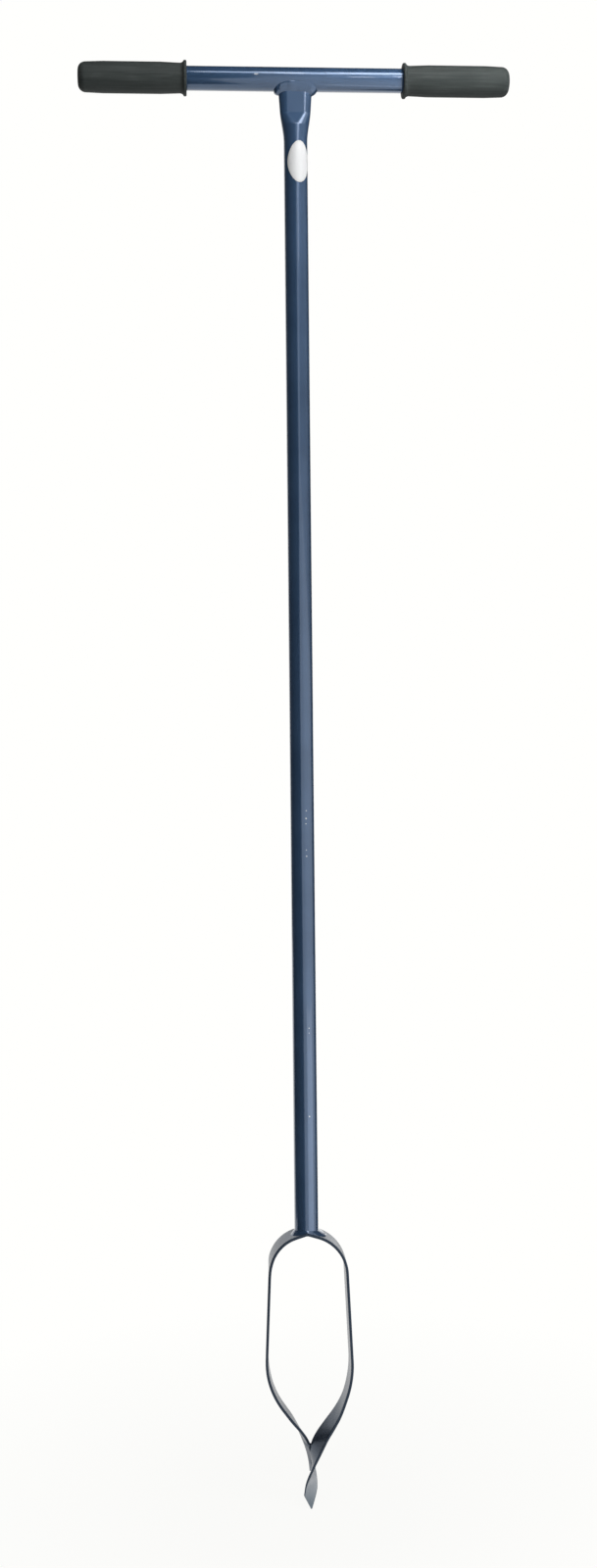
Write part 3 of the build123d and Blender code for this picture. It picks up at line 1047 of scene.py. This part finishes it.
def makeGrip(node, side):
    low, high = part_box(node)
    length = high.x - low.x
    inner = low.x if side > 0 else high.x
    outline = gripOutline(length)
    startClean()
    bpy.ops.mesh.primitive_plane_add(size=0.001)
    sleeve = bpy.context.object
    bpy.ops.object.mode_set(mode="EDIT")
    bpy.ops.mesh.merge(type="CENTER")
    bpy.ops.transform.translate(value=(inner + side * outline[0][0], 0, barMiddle.z + outline[0][1]))
    for before, after in zip(outline, outline[1:]):
        step = (side * (after[0] - before[0]), 0, after[1] - before[1])
        bpy.ops.mesh.extrude_region_move(TRANSFORM_OT_translate={"value": step})
    bpy.ops.mesh.select_all(action="SELECT")
    bpy.ops.mesh.spin(
        steps=grip["segments"], angle=2 * math.pi, center=(0, 0, barMiddle.z), axis=(1, 0, 0),
    )
    bpy.ops.object.mode_set(mode="OBJECT")
    cleanMesh(sleeve)
    return sleeve


seatPiece(makeGrip("right_grip", 1), "rightGrip", "right_grip", gripRubber)
seatPiece(makeGrip("left_grip", -1), "leftGrip", "left_grip", gripRubber)


# label, a blank oval wrapped on the front of the shaft

label = {"turn": 14.4, "chord": 0.0219, "thickness": 0.00022, "rings": 16}


def makeLabel():
    low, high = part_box("oval_label")
    halfLength = (high.z - low.z) / 2
    middle = (high.z + low.z) / 2
    turn = math.radians(label["turn"])
    cells = 2 * label["rings"]
    startClean()
    bpy.ops.mesh.primitive_grid_add(x_subdivisions=cells, y_subdivisions=cells, size=2)
    oval = bpy.context.object
    for vertex in oval.data.vertices:     # the square grid becomes a disc
        x, y = vertex.co.x, vertex.co.y
        vertex.co = (x * math.sqrt(1 - y * y / 2), y * math.sqrt(1 - x * x / 2), 0)
    for loop, corner in zip(oval.data.loops, oval.data.uv_layers.active.data):
        place = oval.data.vertices[loop.vertex_index].co
        corner.uv = (0.5 + place.x / 2, 0.5 + place.y / 2)
    for vertex in oval.data.vertices:     # the disc becomes an oval round the tube
        angle = math.asin(vertex.co.x * label["chord"] / 2 / shaft["radius"]) + turn
        vertex.co = (
            shaft["radius"] * math.sin(angle),
            -shaft["radius"] * math.cos(angle),
            middle + vertex.co.y * halfLength,
        )
    useModifier(oval, "SOLIDIFY", thickness=label["thickness"], offset=1)
    cleanMesh(oval)
    return oval


seatPiece(makeLabel(), "ovalLabel", "oval_label", labelVinyl)


# floor, lights and the white surroundings

stage = {
    "floorSize": 60.0,
    "white": (1.0, 1.0, 0.985, 1),
    "ambient": 0.20,
    "floor": (0.86, 0.86, 0.85, 1),
    "floorRoughness": 0.9,
    "glow": 0.93,                 # share of the floor that is plain white near the tool
    "shadowReach": (0.10, 0.60),  # the rest fades out between these distances
}


def shownTo(tree):
    # 1 for what the camera, a reflection or a clear piece sees, 0 for plain lighting
    seen = put(tree, "LightPath", {})
    shown = mathOf(tree, "MAXIMUM", seen.outputs["Is Camera Ray"], seen.outputs["Is Glossy Ray"])
    return mathOf(tree, "MAXIMUM", shown, seen.outputs["Is Transmission Ray"])


def makeWorld():
    world = bpy.data.worlds.new("studio")
    world.use_nodes = True
    bpy.context.scene.world = world
    tree = world.node_tree
    backdrop = tree.nodes["Background"]
    backdrop.inputs["Color"].default_value = stage["white"]
    tree.links.new(ramp(tree, shownTo(tree), 0, 1, stage["ambient"], 1.0), backdrop.inputs["Strength"])


def makeFloor():
    startClean()
    bpy.ops.mesh.primitive_plane_add(size=stage["floorSize"], location=(0, 0, cadLow.z))
    floor = bpy.context.object
    floor.name = "floor"
    material, tree, shader = newMaterial("paleFloor")
    setShader(tree, shader, Base_Color=stage["floor"], Roughness=stage["floorRoughness"])
    coords = put(tree, "TexCoord", {}).outputs["Object"]
    away = put(tree, "VectorMath", {0: coords}, operation="LENGTH").outputs["Value"]
    plain = ramp(tree, away, *stage["shadowReach"], stage["glow"], 1.0)
    glow = put(tree, "Emission", {"Color": stage["white"], "Strength": 1.0})
    mixed = put(tree, "MixShader", {0: plain, 1: shader.outputs[0], 2: glow.outputs[0]})
    final = put(tree, "MixShader", {0: shownTo(tree), 1: shader.outputs[0], 2: mixed.outputs[0]})
    tree.links.new(final.outputs[0], tree.nodes["Material Output"].inputs["Surface"])
    floor.data.materials.append(material)


# lamps, each with its place, what it points at, its size and how bright its face is; gloss says whether
# reflections show it, and spread is the angle in degrees to which its light is kept

lamps = {
    "key": {
        "place": (0.55, -0.92, 1.75), "aim": (0, 0, 1.40), "size": (0.4, 0.4), "radiance": 6.0,
        "gloss": False,
    },
    "fill": {
        "place": (0.90, -1.10, 0.50), "aim": (0, 0, 0.40), "size": (0.8, 0.8), "radiance": 0.8,
        "gloss": False,
    },
    "gripFill": {
        "place": (0.40, -0.40, 1.66), "aim": (0.18, 0, 1.50), "size": (0.2, 0.2), "radiance": 1.7,
        "gloss": False, "spread": 60,
    },
    "bankTall": {"place": (0.44, -0.42, 0.60), "aim": (0, 0, 0.60), "size": (0.62, 1.18), "radiance": 0.20},
    "bankMid": {"place": (0.44, -0.42, 0.40), "aim": (0, 0, 0.40), "size": (0.62, 0.78), "radiance": 0.40},
    "bankLow": {"place": (0.44, -0.42, 0.21), "aim": (0, 0, 0.21), "size": (0.62, 0.40), "radiance": 1.10},
    "backBank": {"place": (0.38, 1.30, 0.45), "aim": (0, 0, 0.28), "size": (0.40, 0.70), "radiance": 0.36},
    "overRight": {"place": (0.45, -0.87, 2.44), "aim": (0.1, 0, 1.5), "size": (0.90, 0.26), "radiance": 4.7},
    "overLeft": {"place": (-0.09, -0.87, 2.44), "aim": (-0.1, 0, 1.5), "size": (0.42, 0.26), "radiance": 4.4},
    "sideStrip": {"place": (0.47, -1.75, 1.90), "aim": (0, 0, 1.43), "size": (0.13, 0.34), "radiance": 4.5},
    "highStrip": {"place": (0.72, -1.65, 2.16), "aim": (0, 0, 1.46), "size": (0.16, 0.36), "radiance": 8.0},
    "edgeLight": {"place": (0.31, -0.54, 2.25), "aim": (0, 0, 1.45), "size": (0.30, 0.20), "radiance": 5.0},
}


def makeLamp(name, settings):
    data = bpy.data.lights.new(name, "AREA")
    data.shape = "RECTANGLE"
    data.size, data.size_y = settings["size"]
    data.energy = settings["radiance"] * math.pi * data.size * data.size_y
    data.spread = math.radians(settings.get("spread", 180))
    lamp = bpy.data.objects.new(name, data)
    bpy.context.scene.collection.objects.link(lamp)
    lamp.location = settings["place"]
    lamp.rotation_euler = (Vector(settings["aim"]) - lamp.location).to_track_quat("-Z", "Y").to_euler()
    lamp.visible_camera = False
    lamp.visible_glossy = settings.get("gloss", True)


makeWorld()
makeFloor()
for name, settings in lamps.items():
    makeLamp(name, settings)


# flags that only reflections see: a dark one bent round the left side, narrow at the floor, which keeps
# that half of each tube dark, a short dark one for the band on the right blade, grey ones for the rims, the
# pressed flat and the upper half of the shaft, and a level one over the crossbar; from and to are degrees
# round the shaft, and tone is what a reflection sees

flags = {
    "left": {"from": (-12, -3), "to": -100, "radius": (0.55, 1.80), "heights": (0.01, 5.6), "tone": 0.015},
    "rim": {"from": (-100, -100), "to": -140, "radius": (0.35, 1.80), "heights": (0.45, 4.0), "tone": 0.065},
    "band": {"from": (-100, -100), "to": -126, "radius": (0.35, 1.8), "heights": (0.14, 0.45), "tone": 0.012},
    "right": {"from": (100, 100), "to": 150, "radius": (0.60, 1.00), "heights": (0.01, 2.1), "tone": 0.05},
    "front": {"from": (-3, -3), "to": 11, "radius": (1.80, 1.80), "heights": (1.9, 2.45), "tone": 0.50},
    "upper": {"from": (100, 11), "to": 100, "radius": (1.90, 1.90), "heights": (0.88, 2.4), "tone": 0.42},
    "top": {"middle": (0, 0.42, 2.3), "size": (2.4, 1.65), "tone": 0.016},
    "flare": 1.0,           # height at which the bent ones have their full radius
    "widen": (0.9, 1.3),    # heights between which they come round to the front
    "steps": (36, 40),
}


def seatFlag(card, name):
    card.name = name + "Flag"
    material, tree, shader = newMaterial(card.name)
    setShader(
        tree, shader, Base_Color=(0, 0, 0, 1), Roughness=1.0, Specular_IOR_Level=0.0,
        Emission_Color=(1, 1, 1, 1), Emission_Strength=flags[name]["tone"],
    )
    card.data.materials.append(material)
    card.visible_camera = False
    card.visible_diffuse = False
    card.visible_shadow = False


def makeBentFlag(name):
    settings = flags[name]
    columns, rows = flags["steps"]
    startClean()
    bpy.ops.mesh.primitive_grid_add(x_subdivisions=columns, y_subdivisions=rows, size=1)
    card = bpy.context.object
    for vertex in card.data.vertices:
        height = between(*settings["heights"], vertex.co.y + 0.5)
        low, high = flags["widen"]
        begin = between(*settings["from"], (height - low) / (high - low))
        turn = math.radians(between(begin, settings["to"], vertex.co.x + 0.5))
        radius = between(*settings["radius"], height / flags["flare"])
        vertex.co = (radius * math.sin(turn), -radius * math.cos(turn), height)
    seatFlag(card, name)


def makeTopFlag():
    settings = flags["top"]
    startClean()
    bpy.ops.mesh.primitive_plane_add(size=1, location=settings["middle"])
    card = bpy.context.object
    card.scale = (*settings["size"], 1)
    seatFlag(card, "top")


for name in ("left", "rim", "band", "right", "front", "upper"):
    makeBentFlag(name)
makeTopFlag()
print("stage lit")


# camera at the photograph's place, a little left of the front and level with the middle of the shaft

view = {
    "distance": 1.873,
    "turn": -4.0,
    "height": 0.8736,
    "roll": 0.577,
    "sensor": 36.0,
    "lens": 40.95,
    "shift": (-0.0015, -0.0688),
}


def makeCamera():
    data = bpy.data.cameras.new("camera")
    camera = bpy.data.objects.new("camera", data)
    bpy.context.scene.collection.objects.link(camera)
    turn = math.radians(view["turn"])
    roll = math.radians(view["roll"])
    back = Vector((math.sin(turn), -math.cos(turn), 0))
    right = Vector((math.cos(turn), math.sin(turn), 0))
    up = Vector((0, 0, 1))
    level = right * math.cos(roll) - up * math.sin(roll)
    upright = up * math.cos(roll) + right * math.sin(roll)
    axes = Matrix((level, upright, back))
    place = back * view["distance"] + up * view["height"]
    camera.matrix_world = Matrix.Translation(place) @ axes.transposed().to_4x4()
    data.sensor_width = view["sensor"]
    data.lens = view["lens"]
    data.shift_x, data.shift_y = view["shift"]
    bpy.context.scene.camera = camera


makeCamera()
bpy.context.scene.view_settings.view_transform = "Standard"
